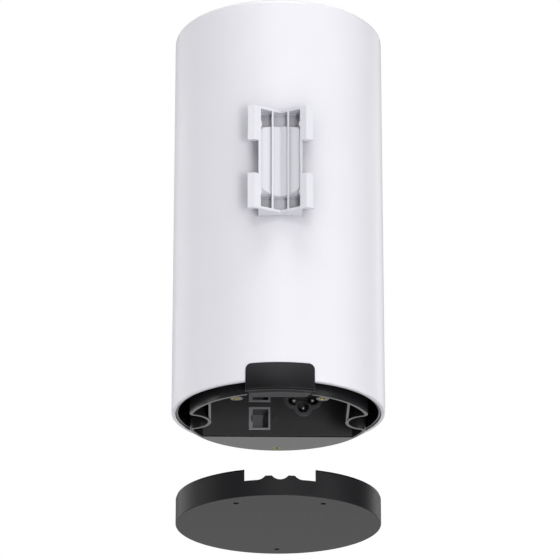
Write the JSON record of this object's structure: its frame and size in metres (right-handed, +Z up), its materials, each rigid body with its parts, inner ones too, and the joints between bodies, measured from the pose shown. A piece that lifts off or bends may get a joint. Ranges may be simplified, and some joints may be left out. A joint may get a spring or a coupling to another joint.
{
  "type": "outdoor mesh wifi node",
  "caption": "Tall white cylindrical outdoor wifi node with a V-groove pole bracket, an open port bay below and a black screw-on bottom cover hanging apart.",
  "frame": {"origin": "centre of the bottom cover's flat underside, with the cover hanging open as in the picture", "axes": "+Z up along the tube, -Y to the rear where the pole bracket is, +X to the right seen from the rear"},
  "size_m": [0.125, 0.1382, 0.3064],
  "materials": {
    "shell_white": "fine moulded satin",
    "bracket_white": "moulded satin",
    "base_black": "moulded satin",
    "hood_black": "moulded satin",
    "cover_black": "moulded satin",
    "seal_rubber": "moulded matt",
    "cable_rubber": "moulded matt",
    "insert_brass": "turned",
    "socket_shield": "tinned sheet",
    "socket_plastic": "moulded",
    "contact_gold": "plated",
    "inlet_black": "moulded",
    "pin_nickel": "nickel plated",
    "button_grey": "moulded",
    "switch_black": "moulded",
    "board_green": "solder mask",
    "screw_steel": "zinc plated",
    "can_steel": "tinned sheet",
    "chip_black": "moulded epoxy",
    "pad_silicone": "soft silicone",
    "sink_aluminium": "extruded",
    "chassis_steel": "zinc plated sheet",
    "transformer_ferrite": "sintered",
    "capacitor_sleeve": "shrunk sleeve",
    "carrier_plastic": "moulded",
    "antenna_brass": "stamped sheet",
    "lead_jacket": "extruded",
    "led_white": "moulded",
    "clear_pipe": "polished clear plastic"
  },
  "bodies": {
    "housing": {"outer_shell": "shell_white", "pole_bracket": "bracket_white", "bracket_screws": "screw_steel", "base_frame": "base_black", "port_plate": "base_black", "base_screws": "screw_steel", "shell_seal": "seal_rubber", "cable_hood": "hood_black", "cable_seal": "cable_rubber", "brass_inserts": "insert_brass", "ethernet_shields": "socket_shield", "ethernet_inserts": "socket_plastic", "ethernet_contacts": "contact_gold", "power_inlet": "inlet_black", "inlet_pins": "pin_nickel", "reset_switch": "switch_black", "main_board": "board_green", "board_screws": "screw_steel", "shield_cans": "can_steel", "processor": "chip_black", "thermal_pad": "pad_silicone", "heat_sink": "sink_aluminium", "chassis": "chassis_steel", "chassis_screws": "screw_steel", "power_board": "board_green", "transformer": "transformer_ferrite", "capacitors": "capacitor_sleeve", "antenna_carrier": "carrier_plastic", "antennas": "antenna_brass", "antenna_leads": "lead_jacket", "status_led": "led_white", "light_pipe": "clear_pipe"},
    "cover": {"base_cover": "cover_black", "cover_screws": "screw_steel"},
    "reset": {"reset_button": "button_grey"}
  },
  "joints": [
    {"name": "cover_slide", "type": "slide", "parent": "housing", "child": "cover", "axis": [0, 0, 1], "range_m": [0, 0.0474]},
    {"name": "reset_press", "type": "slide", "parent": "housing", "child": "reset", "axis": [0, 1, 0], "range_m": [0, 0.0006], "stiffness_N_per_m": 400}
  ]
}
